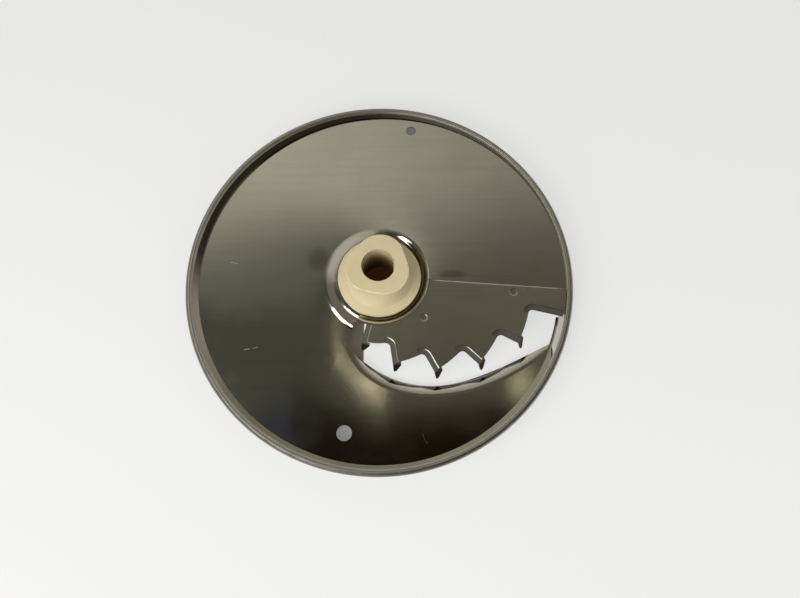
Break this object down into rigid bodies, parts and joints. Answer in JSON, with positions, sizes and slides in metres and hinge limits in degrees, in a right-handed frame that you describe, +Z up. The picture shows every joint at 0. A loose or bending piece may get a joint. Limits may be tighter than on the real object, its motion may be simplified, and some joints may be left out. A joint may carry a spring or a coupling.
{
  "type": "food processor disc",
  "caption": "Pressed steel cutting disc with a ramped floor, a welded toothed blade over a slot, and a moulded hub with a D-shaped bore.",
  "frame": {"origin": "on the hub's axis, in the plane of the rim's lower edge", "axes": "+Z up out of the working face along the hub's axis, +X from the hub out along the blade"},
  "size_m": [0.175, 0.175, 0.0233],
  "materials": {
    "disc_steel": "polished stainless steel with fine circular brushing",
    "blade_steel": "satin stainless steel with ground edges",
    "hub_plastic": "satin cream moulding"
  },
  "bodies": {
    "root": {"pressed_disc": "disc_steel", "toothed_blade": "blade_steel", "drive_hub": "hub_plastic"}
  },
  "joints": []
}
